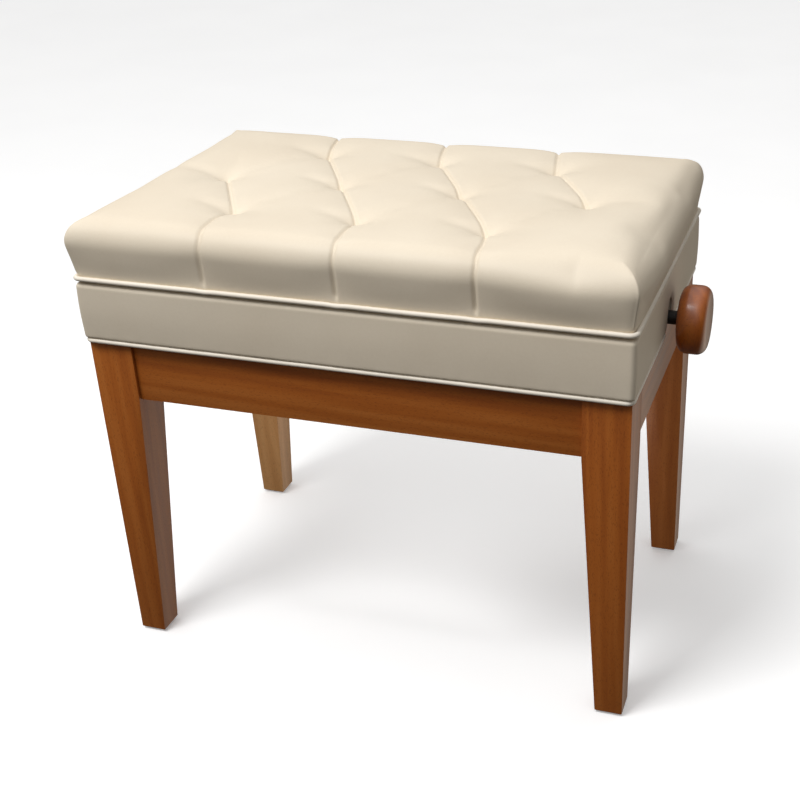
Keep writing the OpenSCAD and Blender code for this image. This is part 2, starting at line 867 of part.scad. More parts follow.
mirror([1, 0, 0]) mirror([0, 1, 0]) leg();  // leg_front_left
mirror([0, 1, 0]) leg();  // leg_front_right
mirror([1, 0, 0]) leg();  // leg_rear_left
leg();  // leg_rear_right
mirror([0, 1, 0]) apron_long();  // apron_front
apron_long();  // apron_rear
mirror([1, 0, 0]) apron_short();  // apron_left
apron_short();  // apron_right
corner_braces();
hanger_bolts();
brace_nuts();
wood_screws();
floor_glides();
support_battens();
mirror([1, 0, 0]) base_bracket();  // base_bracket_left
base_bracket();  // base_bracket_right
mirror([0, 1, 0]) base_rail();  // base_rail_front
base_rail();  // base_rail_rear
spindle_bushes();
lower_pivot_rivets();
lower_pivot_spacers();
mirror([0, 1, 0]) scissor_arm_a();  // scissor_arm_a_front
scissor_arm_a();  // scissor_arm_a_rear
centre_rod();
slide_rod();
slide_rollers();
slide_clips();
mirror([0, 1, 0]) scissor_arm_b();  // scissor_arm_b_front
scissor_arm_b();  // scissor_arm_b_rear
nut_bar();
nut_rollers();
nut_clips();
spindle();
thrust_collars();
mirror([1, 0, 0]) knob();  // knob_left
knob();  // knob_right
knob_inserts();
mirror([0, 1, 0]) upper_rail();  // upper_rail_front
upper_rail();  // upper_rail_rear
mirror([1, 0, 0]) upper_bracket();  // upper_bracket_left
upper_bracket();  // upper_bracket_right
upper_pivot_rivets();
upper_pivot_spacers();
upper_screws();
tee_nuts();
seat_board();
seat_foam();
seat_cover();
upper_welt();
tuft_ties();
tuft_anchors();
mirror([0, 1, 0]) skirt_board_long();  // skirt_board_front
skirt_board_long();  // skirt_board_rear
mirror([1, 0, 0]) skirt_board_short();  // skirt_board_left
skirt_board_short();  // skirt_board_right
skirt_blocks();
skirt_brackets();
skirt_screws();
skirt_cover();
lower_welt();
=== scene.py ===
"""Looks of an adjustable piano bench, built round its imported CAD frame. All lengths are in metres."""
import json
import math

import bmesh
import bpy
import numpy as np
from mathutils import Matrix, Vector, noise


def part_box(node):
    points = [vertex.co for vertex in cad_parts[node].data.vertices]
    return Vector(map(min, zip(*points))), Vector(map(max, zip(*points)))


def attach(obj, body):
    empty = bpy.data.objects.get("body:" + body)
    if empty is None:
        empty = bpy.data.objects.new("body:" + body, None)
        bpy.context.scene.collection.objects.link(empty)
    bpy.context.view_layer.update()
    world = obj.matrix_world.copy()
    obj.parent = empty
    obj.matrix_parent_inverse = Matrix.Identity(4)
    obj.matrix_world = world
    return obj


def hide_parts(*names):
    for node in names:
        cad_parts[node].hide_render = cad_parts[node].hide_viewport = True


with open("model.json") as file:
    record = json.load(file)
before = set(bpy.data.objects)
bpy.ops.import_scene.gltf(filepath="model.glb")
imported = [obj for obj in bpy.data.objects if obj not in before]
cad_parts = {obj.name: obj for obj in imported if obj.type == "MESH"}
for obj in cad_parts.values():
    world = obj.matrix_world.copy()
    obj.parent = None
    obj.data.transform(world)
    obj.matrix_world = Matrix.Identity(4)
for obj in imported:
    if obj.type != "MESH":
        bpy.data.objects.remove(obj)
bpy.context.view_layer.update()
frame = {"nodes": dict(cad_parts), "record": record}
scene = bpy.context.scene
MM = 0.001

# ---------------------------------------------------------------- frame dimensions

cover_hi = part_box("seat_cover")[1]
skirt_lo, skirt_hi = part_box("skirt_cover")
upper_lo, upper_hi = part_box("upper_welt")
lower_lo, lower_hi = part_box("lower_welt")
board_lo, board_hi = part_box("seat_board")
side_board_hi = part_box("skirt_board_right")[1]
knob_lo, knob_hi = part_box("knob_right")

BELLY_X, BELLY_Y = cover_hi.x, cover_hi.y
CUSHION_TOP = cover_hi.z
CUSHION_FOOT = upper_hi.z
ROUNDING = 26 * MM
BELLY_Z = CUSHION_TOP - ROUNDING
AXIS_Z = (knob_lo.z + knob_hi.z) / 2


# ---------------------------------------------------------------- mesh helpers


def add_mesh(name, verts, faces, smooth=True):
    """A new mesh object from lists of vertices and faces."""
    mesh = bpy.data.meshes.new(name)
    mesh.from_pydata([tuple(v) for v in verts], [], [tuple(f) for f in faces])
    mesh.update()
    obj = bpy.data.objects.new(name, mesh)
    scene.collection.objects.link(obj)
    if smooth:
        mesh.shade_smooth()
    return obj


def outward(obj):
    """Turns the faces of a closed mesh outward."""
    bm = bmesh.new()
    bm.from_mesh(obj.data)
    bmesh.ops.recalc_face_normals(bm, faces=bm.faces)
    bm.to_mesh(obj.data)
    bm.free()


def applied(obj):
    """Replaces obj's mesh by its evaluated mesh and removes its modifiers."""
    graph = bpy.context.evaluated_depsgraph_get()
    mesh = bpy.data.meshes.new_from_object(obj.evaluated_get(graph))
    obj.modifiers.clear()
    obj.data = mesh
    return obj


def coords(obj):
    co = np.zeros(len(obj.data.vertices) * 3)
    obj.data.vertices.foreach_get("co", co)
    return co.reshape(-1, 3)


def set_coords(obj, co):
    obj.data.vertices.foreach_set("co", co.astype(np.float32).ravel())
    obj.data.update()


def islands(cad):
    """Centres of the separate solids of a CAD node, sorted from front to back and left to right."""
    bm = bmesh.new()
    bm.from_mesh(frame["nodes"][cad].data)
    bmesh.ops.remove_doubles(bm, verts=bm.verts, dist=1e-6)
    seen, centres = set(), []
    for start in bm.verts:
        if start.index in seen:
            continue
        stack, group = [start], []
        seen.add(start.index)
        while stack:
            v = stack.pop()
            group.append(v.co.copy())
            for e in v.link_edges:
                other = e.other_vert(v)
                if other.index not in seen:
                    seen.add(other.index)
                    stack.append(other)
        lo = Vector(map(min, zip(*group)))
        hi = Vector(map(max, zip(*group)))
        centres.append((lo + hi) / 2)
    bm.free()
    return sorted(centres, key=lambda c: (round(c.y, 3), c.x))


def eased_copy(cad, name, width):
    """A copy of a CAD node with its edges rounded over."""
    obj = bpy.data.objects.new(name, frame["nodes"][cad].data.copy())
    scene.collection.objects.link(obj)
    bm = bmesh.new()
    bm.from_mesh(obj.data)
    bmesh.ops.remove_doubles(bm, verts=bm.verts, dist=1e-6)
    bmesh.ops.dissolve_limit(bm, angle_limit=math.radians(1), verts=bm.verts, edges=bm.edges)
    sharp = [e for e in bm.edges if e.is_manifold and e.calc_face_angle() > math.radians(25)]
    bmesh.ops.bevel(bm, geom=sharp, offset=width, segments=3, profile=0.5,
                    affect="EDGES", clamp_overlap=True)
    bm.to_mesh(obj.data)
    bm.free()
    obj.data.shade_smooth()
    obj.data.set_sharp_from_angle(angle=math.radians(35))
    return obj


# ---------------------------------------------------------------- materials


def new_material(name):
    mat = bpy.data.materials.new(name)
    mat.use_nodes = True
    tree = mat.node_tree
    return mat, tree, tree.nodes["Principled BSDF"]


def node(tree, kind, inputs=None, **settings):
    """Adds a shader node; inputs maps a socket to a value or to another node's output."""
    made = tree.nodes.new(kind)
    for key, value in settings.items():
        setattr(made, key, value)
    for key, value in (inputs or {}).items():
        if isinstance(value, bpy.types.NodeSocket):
            tree.links.new(value, made.inputs[key])
        else:
            made.inputs[key].default_value = value
    return made


def ramp(tree, factor, stops):
    """Colour ramp through (position, colour) stops."""
    made = node(tree, "ShaderNodeValToRGB", {"Fac": factor})
    elements = made.color_ramp.elements
    while len(elements) < len(stops):
        elements.new(0.5)
    for element, (place, colour) in zip(elements, stops):
        element.position = place
        element.color = (*colour, 1)
    return made.outputs["Color"]


def value_range(tree, factor, low, high, start=0.0, end=1.0):
    made = node(tree, "ShaderNodeMapRange", {
        "Value": factor, "From Min": start, "From Max": end, "To Min": low, "To Max": high})
    return made.outputs["Result"]


def scaled_coords(tree, scale, offset=(0, 0, 0)):
    place = node(tree, "ShaderNodeTexCoord")
    made = node(tree, "ShaderNodeMapping", {
        "Vector": place.outputs["Object"], "Location": offset, "Scale": scale})
    return made.outputs["Vector"]


def noise_value(tree, vector, scale, detail=2.0, rough=0.5, distortion=0.0):
    made = node(tree, "ShaderNodeTexNoise", {
        "Vector": vector, "Scale": scale, "Detail": detail, "Roughness": rough,
        "Distortion": distortion})
    return made.outputs["Fac"]


def bump(tree, height, strength, distance, normal=None):
    inputs = {"Height": height, "Strength": strength, "Distance": distance}
    if normal is not None:
        inputs["Normal"] = normal
    return node(tree, "ShaderNodeBump", inputs).outputs["Normal"]


def math_node(tree, operation, a, b):
    made = node(tree, "ShaderNodeMath", operation=operation)
    for socket, value in zip(made.inputs, (a, b)):
        if isinstance(value, bpy.types.NodeSocket):
            tree.links.new(value, socket)
        else:
            socket.default_value = value
    return made.outputs["Value"]


def vinyl_material(name, worn, fresh, sheen):
    """Vinyl with a fine pressed leather grain."""
    mat, tree, shader = new_material(name)
    place = scaled_coords(tree, (1, 1, 1))
    cells = node(tree, "ShaderNodeTexVoronoi", {"Vector": place, "Scale": 780.0},
                 feature="DISTANCE_TO_EDGE").outputs["Distance"]
    grain = value_range(tree, cells, 0, 1, 0.0, 0.28)
    broad = noise_value(tree, place, 9.0, 3.0)
    mottle = noise_value(tree, place, 320.0, 3.0, 0.6)
    tone = math_node(tree, "ADD", math_node(tree, "MULTIPLY", broad, 0.7),
                     math_node(tree, "MULTIPLY", mottle, 0.3))
    colour = ramp(tree, tone, [(0.30, worn), (0.70, fresh)])
    tree.links.new(colour, shader.inputs["Base Color"])
    rough = value_range(tree, mottle, 0.44, 0.58, 0.3, 0.7)
    tree.links.new(rough, shader.inputs["Roughness"])
    shader.inputs["Specular IOR Level"].default_value = sheen
    fine = bump(tree, grain, 0.35, 0.00012)
    soft = bump(tree, broad, 0.15, 0.0015, fine)
    tree.links.new(soft, shader.inputs["Normal"])
    return mat


def wood_material(name, axis, seed, dark, mid, light, lacquer=0.25, rough=(0.36, 0.48)):
    """Stained wood with grain along one axis, a slow colour drift, pores and a lacquer coat."""
    mat, tree, shader = new_material(name)
    across, along = 1.0, 0.045
    stretch = [across] * 3
    stretch["XYZ".index(axis)] = along
    place = scaled_coords(tree, stretch, (seed * 1.37, seed * 0.71, seed * 2.03))
    bend = noise_value(tree, place, 16.0, 2.0, 0.5, 0.4)
    rings = node(tree, "ShaderNodeTexWave", {
        "Vector": place, "Scale": 34.0, "Distortion": 5.5, "Detail": 3.0,
        "Detail Scale": 1.6, "Detail Roughness": 0.6},
        wave_type="BANDS", bands_direction="DIAGONAL").outputs["Fac"]
    streak = noise_value(tree, place, 210.0, 3.0, 0.65)
    pores = noise_value(tree, scaled_coords(tree, [s * (6.0 if s == along else 1.0) for s in stretch],
                                            (seed, seed, seed)), 1300.0, 1.0)
    tone = math_node(tree, "ADD", math_node(tree, "MULTIPLY", bend, 0.62),
                     math_node(tree, "MULTIPLY", rings, 0.13))
    tone = math_node(tree, "ADD", tone, math_node(tree, "MULTIPLY", streak, 0.25))
    colour = ramp(tree, tone, [(0.28, dark), (0.52, mid), (0.78, light)])
    pore_mask = value_range(tree, pores, 1.0, 0.0, 0.30, 0.42)
    darker = node(tree, "ShaderNodeMix", {
        "Factor": math_node(tree, "MULTIPLY", pore_mask, 0.35), "A": colour,
        "B": (*[c * 0.45 for c in dark], 1)}, data_type="RGBA")
    tree.links.new(darker.outputs["Result"], shader.inputs["Base Color"])
    tree.links.new(value_range(tree, streak, *rough), shader.inputs["Roughness"])
    shader.inputs["Coat Weight"].default_value = lacquer
    shader.inputs["Coat Roughness"].default_value = 0.22
    height = math_node(tree, "SUBTRACT", streak, pore_mask)
    tree.links.new(bump(tree, height, 0.12, 0.0002), shader.inputs["Normal"])
    return mat


CHERRY = dict(dark=(0.290, 0.066, 0.009), mid=(0.430, 0.118, 0.016), light=(0.550, 0.180, 0.034))
# Lighter copies of the cherry for the two rear legs: painted light that stands in for light the bench's
# shadow keeps off them.
CHERRY_PAINTED_LIT = dict(dark=(0.540, 0.240, 0.080), mid=(0.680, 0.340, 0.130), light=(0.780, 0.440, 0.190))
CHERRY_PAINTED_HALF_LIT = dict(dark=(0.330, 0.084, 0.016), mid=(0.470, 0.145, 0.030), light=(0.590, 0.205, 0.055))
DEEP_CHERRY = dict(dark=(0.320, 0.070, 0.008), mid=(0.470, 0.122, 0.014), light=(0.590, 0.185, 0.028))
REAR_LEGS_PAINTED_LIGHT = {"rear_left_leg": CHERRY_PAINTED_LIT, "rear_right_leg": CHERRY_PAINTED_HALF_LIT}
BEECH = dict(dark=(0.470, 0.300, 0.150), mid=(0.590, 0.410, 0.225), light=(0.700, 0.520, 0.320),
             lacquer=0.0, rough=(0.62, 0.80))


def metal_material(name, colour, metallic, rough, grain_scale, grain_depth):
    """Painted or plated steel: broken roughness over a fine surface texture."""
    mat, tree, shader = new_material(name)
    place = scaled_coords(tree, (1, 1, 1))
    speckle = noise_value(tree, place, grain_scale, 3.0, 0.6)
    patch = noise_value(tree, place, 22.0, 3.0, 0.6)
    tone = ramp(tree, patch, [(0.3, [c * 0.82 for c in colour]), (0.7, colour)])
    tree.links.new(tone, shader.inputs["Base Color"])
    shader.inputs["Metallic"].default_value = metallic
    tree.links.new(value_range(tree, patch, rough[0], rough[1], 0.3, 0.7),
                   shader.inputs["Roughness"])
    tree.links.new(bump(tree, speckle, 0.25, grain_depth), shader.inputs["Normal"])
    return mat


def plain_material(name, dark, light, rough, scale, depth):
    """Moulded plastic, rubber or raw fibre: mottled colour over a fine texture."""
    mat, tree, shader = new_material(name)
    place = scaled_coords(tree, (1, 1, 1))
    speckle = noise_value(tree, place, scale, 4.0, 0.65)
    tree.links.new(ramp(tree, speckle, [(0.35, dark), (0.65, light)]), shader.inputs["Base Color"])
    tree.links.new(value_range(tree, speckle, rough[0], rough[1], 0.3, 0.7),
                   shader.inputs["Roughness"])
    tree.links.new(bump(tree, speckle, 0.2, depth), shader.inputs["Normal"])
    return mat


VINYL = vinyl_material("cream_vinyl", (0.755, 0.655, 0.515), (0.815, 0.722, 0.580), 0.34)
# The piping is a lighter copy of the cream vinyl; its extra lightness is a painted highlight for the light
# falling on top of the welt.
PIPING_PAINTED_HIGHLIGHT = vinyl_material("piping_vinyl_painted_highlight", (0.880, 0.800, 0.680), (0.930, 0.865, 0.755), 0.45)
BLACK_STEEL = metal_material("black_steel_paint", (0.028, 0.028, 0.030), 0.0, (0.38, 0.52), 900.0, 0.00008)
OXIDE_STEEL = metal_material("black_oxide_steel", (0.050, 0.047, 0.045), 0.75, (0.34, 0.48), 1500.0, 0.00003)
ZINC = metal_material("zinc_plated_steel", (0.620, 0.610, 0.570), 1.0, (0.30, 0.46), 1200.0, 0.00003)
NYLON = plain_material("natural_nylon", (0.70, 0.67, 0.58), (0.78, 0.76, 0.68), (0.42, 0.55), 500.0, 0.00004)
GLIDE = plain_material("glide_rubber", (0.012, 0.012, 0.012), (0.03, 0.03, 0.03), (0.6, 0.8), 700.0, 0.0001)
TWINE = plain_material("waxed_twine", (0.55, 0.48, 0.36), (0.72, 0.66, 0.53), (0.7, 0.9), 1800.0, 0.0002)


def assign(obj, mat):
    obj.data.materials.clear()
    obj.data.materials.append(mat)


def place_piece(obj, body, mat, replaced):
    """Gives a new piece its material and body, and hides the CAD nodes it stands for."""
    assign(obj, mat)
    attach(obj, body)
    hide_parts(*replaced)


# ---------------------------------------------------------------- wooden pieces

EDGE_EASE = 1.6 * MM


def wooden_frame():
    """Legs and aprons with eased edges, each cut from its own length of stained wood; the two rear legs are
    painted lighter, as painted light.
    """
    parts = [(f"leg_{y}_{x}", f"{y}_{x}_leg", "Z") for y in ("front", "rear") for x in ("left", "right")]
    parts += [("apron_front", "front_apron", "X"), ("apron_rear", "rear_apron", "X"),
              ("apron_left", "left_apron", "Y"), ("apron_right", "right_apron", "Y")]
    for seed, (cad, name, axis) in enumerate(parts, start=1):
        obj = eased_copy(cad, name, EDGE_EASE)
        # the rear legs take lighter cherry: painted light in place of the light that reaches them
        tones = REAR_LEGS_PAINTED_LIGHT.get(name, CHERRY)
        mat = wood_material(f"cherry_{name}", axis, seed * 0.173, **tones)
        place_piece(obj, "leg_frame", mat, [cad])


def raw_wood():
    """Braces, battens, seat board and skirt boards keep their CAD shape and get bare wood."""
    for seed, (cad, axis) in enumerate([
            ("corner_braces", "Z"), ("support_battens", "Y"), ("seat_board", "X"),
            ("skirt_board_front", "X"), ("skirt_board_rear", "X"), ("skirt_board_left", "Y"),
            ("skirt_board_right", "Y"), ("skirt_blocks", "Z")], start=1):
        assign(frame["nodes"][cad], wood_material(f"beech_{cad}", axis, seed * 0.311, **BEECH))


def lathe(name, profile, centre, side):
    """Turns a profile of (distance along X, radius) points round an axis along X."""
    segments = 96
    verts, faces = [], []
    for along, radius in profile:
        for k in range(segments):
            a = 2 * math.pi * k / segments
            verts.append((centre.x + side * along, centre.y + radius * math.cos(a),
                          centre.z + radius * math.sin(a)))
    rings = len(profile)
    for i in range(rings - 1):
        for k in range(segments):
            n = (k + 1) % segments
            faces.append((i * segments + k, i * segments + n, (i + 1) * segments + n,
                          (i + 1) * segments + k))
    faces.append(tuple(range(segments)))
    faces.append(tuple((rings - 1) * segments + k for k in range(segments)))
    obj = add_mesh(name, verts, faces)
    outward(obj)
    obj.data.set_sharp_from_angle(angle=math.radians(40))
    return obj


def arc(cx, cy, radius, start, end, count):
    """Points on an arc, with angles in degrees."""
    return [(cx + radius * math.cos(math.radians(start + (end - start) * i / count)),
             cy + radius * math.sin(math.radians(start + (end - start) * i / count)))
            for i in range(count + 1)]


def knob(name, cad, side):
    """Turned wooden knob with well rounded rims and a faintly domed face."""
    lo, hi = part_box(cad)
    radius, thick = (hi.z - lo.z) / 2, hi.x - lo.x
    edge = 0.34 * thick
    dome = 0.6 * MM
    recess = [(2 * MM, 7 * MM), (0, 9 * MM)]
    profile = recess + [(0, radius - edge)]
    profile += arc(edge, radius - edge, edge, 180, 90, 10)[1:]
    profile += arc(thick - edge - dome, radius - edge, edge, 90, 0, 10)
    profile += [(thick - dome * (r / (radius - edge)) ** 2, r)
                for r in np.linspace(radius - edge, 1 * MM, 10)[1:]]
    start = Vector((lo.x if side > 0 else hi.x, 0, AXIS_Z))
    obj = lathe(name, profile, start, side)
    mat = wood_material(f"cherry_{name}", "Z", 3.1 + side, lacquer=0.7, **DEEP_CHERRY)
    place_piece(obj, "drive", mat, [cad])


# ---------------------------------------------------------------- tufted cushion

FOOT_IN = 7 * MM  # how far the cushion's foot stands in from its widest line
GRID_STEP = 5.2 * MM
STUFFING = 2.5 * MM  # room left under the outline for the stuffing
STUFFING_CAP = 8 * MM
STUFFING_STEPS = 20

TUFT_DEPTH = 11.5 * MM
TUFT_WIDTH = 15 * MM
SEAM_DEPTH = 2.4  # in mm, as are all depths given to nearest_on
SEAM_WIDTH = 13 * MM
FOLD_WIDTH = 9 * MM
SEAM_HOLD = 0.5  # how firmly a seam is held while the cushion is stuffed; a tuft is held by 1
SEAM_HOLD_WIDTH = 4 * MM
TUFT_HOLD_WIDTH = 5 * MM
WELT_HOLD_HEIGHT = 4 * MM

PLEAT = 2.5 * MM
PLEAT_WIDTH = 1.9 * MM
PLEAT_LAP = 0.7 * MM
LAP_WIDTH = 5 * MM
LAP_START = 0.9 * MM
PLEAT_REACH = 20 * MM
PLEAT_FADE = 6 * MM  # height over the welt in which the pleats fade in
CORNER_RIDGE = 0.9 * MM
RIDGE_WIDTH = 1.7 * MM
RIDGE_RUN = 21 * MM
CORNER_ZONE = 40 * MM

ROW_SPLIT = 20 * MM  # tufts nearer the middle line than this are in the middle row
TUFTS = [(c.x, c.y) for c in islands("tuft_anchors")]
FRONT_TUFTS = [t for t in TUFTS if t[1] < -ROW_SPLIT]
MIDDLE_TUFTS = [t for t in TUFTS if abs(t[1]) < ROW_SPLIT]
BACK_TUFTS = [t for t in TUFTS if t[1] > ROW_SPLIT]
FRONT_SHIFTS = (1 * MM, 7 * MM, 12 * MM)
BACK_SHIFT = 17 * MM
FRONT_EDGE = [t[0] + shift for t, shift in zip(FRONT_TUFTS, FRONT_SHIFTS)]  # where seams meet the edge
BACK_EDGE = [t[0] - BACK_SHIFT for t in BACK_TUFTS]
BEYOND = 50 * MM  # seams that reach the edge go this far past it
HOOK_Y = FRONT_TUFTS[0][1] - 34 * MM  # the front seams bend here
HOOK_SHIFT = 4 * MM
FAR = 1e9


def guide_lines():
    """The four seam lines that run from the front edge to the back edge through the tufts, as x at
    a list of y; the outer two leave the tufts and follow the short sides."""
    ys = [-BELLY_Y, HOOK_Y, FRONT_TUFTS[0][1], 0.0, BACK_TUFTS[0][1], BELLY_Y]
    f1, f2, f3 = [t[0] for t in FRONT_TUFTS]
    m1, m2, m3, m4 = [t[0] for t in MIDDLE_TUFTS]
    b1, b2, b3 = [t[0] for t in BACK_TUFTS]
    hooks = [x - HOOK_SHIFT for x in FRONT_EDGE]
    lines = [
        [FRONT_EDGE[0], hooks[0], f1, m1, m1 - 22 * MM, m1 - 30 * MM],
        [FRONT_EDGE[1], hooks[1], f2, m2, b1, BACK_EDGE[0]],
        [FRONT_EDGE[2], hooks[2], f3, m3, b2, BACK_EDGE[1]],
        [m4 + 30 * MM, m4 + 28 * MM, m4 + 22 * MM, m4, b3, BACK_EDGE[2]],
    ]
    return ys, lines


def sewn_seams():
    """Sewn pleats of the cover in plan, each as its points."""
    ys, lines = guide_lines()
    seams = []
    for row, line in enumerate(lines):
        first = 3 if row == 3 else 0
        last = 3 if row == 0 else len(ys) - 1
        points = [(x, y) for x, y in zip(line, ys)][first:last + 1]
        if first == 0:
            points.insert(0, (points[0][0], -BELLY_Y - BEYOND))
        if last == len(ys) - 1:
            points.append((points[-1][0], BELLY_Y + BEYOND))
        seams.append(points)
    return seams


def soft_folds():
    """Soft valleys with no stitching, each as its points and the depth at each point."""
    folds = []
    for a, b in zip(FRONT_TUFTS, MIDDLE_TUFTS[1:]):
        folds.append(([a, ((a[0] + b[0]) / 2, (a[1] + b[1]) / 2), b], [5.0, 1.2, 2.0]))
    for a, b in zip(BACK_TUFTS, MIDDLE_TUFTS):
        folds.append(([a, ((a[0] + b[0]) / 2, (a[1] + b[1]) / 2), b], [4.0, 1.5, 4.0]))
    for x, y in TUFTS:
        folds.append(([(x, y), (x - 24 * MM, y + 4 * MM), (x - 52 * MM, y + 9 * MM)], [6.0, 3.2, 0.0]))
    left, right = MIDDLE_TUFTS[0], MIDDLE_TUFTS[-1]
    folds.append(([left, (left[0] - 40 * MM, 8 * MM), (-BELLY_X, 12 * MM)], [5.0, 1.4, 0.0]))
    folds.append(([right, (right[0] + 35 * MM, 2 * MM), (BELLY_X - 15 * MM, 4 * MM)], [4.0, 1.2, 0.0]))
    return folds


def off_segment(a, b, xy):
    """How far along a to b the nearest place to each xy lies, from 0 to 1, and the offset from it."""
    a, b = np.array(a), np.array(b)
    d = b - a
    t = np.clip(((xy - a) @ d) / (d @ d), 0, 1)
    return t, xy - a - t[:, None] * d


def nearest_on(points, depths, xy):
    """Distance in plan from each xy to a polyline, and the depth at the nearest place on it, from
    depths given in mm."""
    best = np.full(len(xy), FAR)
    depth = np.zeros(len(xy))
    for (a, da), (b, db) in zip(zip(points, depths), zip(points[1:], depths[1:])):
        t, off = off_segment(a, b, xy)
        gap = np.hypot(*off.T)
        closer = gap < best
        best = np.where(closer, gap, best)
        depth = np.where(closer, da + (db - da) * t, depth)
    return best, depth * MM


def pulled_in(xy):
    """How far tufts, seams and folds pull the cover in before it is stuffed. Adding the cubes lets
    the deepest one rule where they meet, with no crease between them."""
    total = np.zeros(len(xy))
    for x, y in TUFTS:
        gap = np.hypot(xy[:, 0] - x, xy[:, 1] - y)
        total += (TUFT_DEPTH * np.exp(-(gap / TUFT_WIDTH) ** 1.3)) ** 3
    for points in sewn_seams():
        gap, depth = nearest_on(points, [SEAM_DEPTH] * len(points), xy)
        total += (depth * np.exp(-(gap / SEAM_WIDTH) ** 1.5)) ** 3
    for points, depths in soft_folds():
        gap, depth = nearest_on(points, depths, xy)
        total += (depth * np.exp(-(gap / FOLD_WIDTH) ** 2)) ** 3
    return np.cbrt(total)


def sewn_weight(xy, z):
    """How firmly each point is held while the cushion is stuffed: fully at the tufts and at the
    welt, partly along the seams."""
    weight = np.zeros(len(xy))
    for points in sewn_seams():
        gap, _ = nearest_on(points, [0.0] * len(points), xy)
        weight = np.maximum(weight, SEAM_HOLD * np.exp(-(gap / SEAM_HOLD_WIDTH) ** 2))
    for x, y in TUFTS:
        gap = np.hypot(xy[:, 0] - x, xy[:, 1] - y)
        weight = np.maximum(weight, np.exp(-(gap / TUFT_HOLD_WIDTH) ** 2))
    return np.maximum(weight, np.clip(1 - (z - CUSHION_FOOT) / WELT_HOLD_HEIGHT, 0, 1))


def signed_gap(points, xy):
    """Distance in plan from each xy to a polyline, and +1 where xy lies to the right of it."""
    best = np.full(len(xy), FAR)
    side = np.zeros(len(xy))
    for a, b in zip(points, points[1:]):
        _, off = off_segment(a, b, xy)
        gap = np.hypot(*off.T)
        closer = gap < best
        best = np.where(closer, gap, best)
        side = np.where(closer, np.sign(off[:, 0] * (b[1] - a[1]) - off[:, 1] * (b[0] - a[0])), side)
    return best, side


def pleat_depth(xy):
    """Depth of the fine line of each pleat, with the cover on its right lapped over the left, less
    the ridge of the dart at each corner."""
    total = np.zeros(len(xy))
    for points in sewn_seams():
        gap, side = signed_gap(points, xy)
        line = PLEAT * np.exp(-((gap / PLEAT_WIDTH) ** 2))
        lap = PLEAT_LAP * np.exp(-gap / LAP_WIDTH) * np.where(side > 0, -1.0, 0.55)
        total = np.where(gap < PLEAT_REACH, total + line + lap * (gap > LAP_START), total)
    for sx in (-1, 1):
        for sy in (-1, 1):
            corner = [(sx * (BELLY_X - RIDGE_RUN), sy * (BELLY_Y - RIDGE_RUN)),
                      (sx * BELLY_X, sy * BELLY_Y)]
            gap, _ = signed_gap(corner, xy)
            total -= CORNER_RIDGE * np.exp(-((gap / RIDGE_WIDTH) ** 2))
    return total


def cushion_grid(step):
    """Sharp-cornered box grid of the cushion whose columns follow the guide lines and crowd beside
    them. Returns rest positions, quads and the loop of vertices at the foot."""
    ys, lines = guide_lines()
    borders = [[-BELLY_X] * len(ys)] + lines + [[BELLY_X] * len(ys)]
    counts = []
    for a, b in zip(borders, borders[1:]):
        counts.append(max(4, int(round(np.mean(np.array(b) - np.array(a)) / step))))
    nx = sum(counts)
    rows = [(ya, yb, max(3, int(round((yb - ya) / step)))) for ya, yb in zip(ys, ys[1:])]
    y_list = [ya + (yb - ya) * k / n for ya, yb, n in rows for k in range(n)] + [ys[-1]]
    ny = len(y_list) - 1
    down = max(4, int(round((CUSHION_TOP - CUSHION_FOOT) / step)))
    index, verts = {}, []

    def add(key, p):
        if key not in index:
            index[key] = len(verts)
            verts.append(p)
        return index[key]

    def crowded(t):
        """Maps 0..1 to itself with points closer together near both ends."""
        return t - 0.5 * math.sin(2 * math.pi * t) / (2 * math.pi)

    def column_x(y):
        xs = [np.interp(y, ys, line) for line in borders]
        return [xs[s] + (xs[s + 1] - xs[s]) * crowded(k / n)
                for s, n in enumerate(counts) for k in range(n)] + [xs[-1]]

    grid_x = [column_x(y) for y in y_list]

    def top(i, j):
        return add((i, j, 0), (grid_x[j][i], y_list[j], CUSHION_TOP))

    def side(i, j, k):
        z = CUSHION_TOP - (CUSHION_TOP - CUSHION_FOOT) * k / down
        return top(i, j) if k == 0 else add((i, j, k), (grid_x[j][i], y_list[j], z))

    faces = [(top(i, j), top(i + 1, j), top(i + 1, j + 1), top(i, j + 1))
             for j in range(ny) for i in range(nx)]
    rim = [(i, 0) for i in range(nx)] + [(nx, j) for j in range(ny)]
    rim += [(i, ny) for i in range(nx, 0, -1)] + [(0, j) for j in range(ny, 0, -1)]
    for a, b in zip(rim, rim[1:] + rim[:1]):
        for k in range(down):
            faces.append((side(*a, k), side(*a, k + 1), side(*b, k + 1), side(*b, k)))
    foot = [side(*p, down) for p in rim]
    return np.array(verts), faces, foot


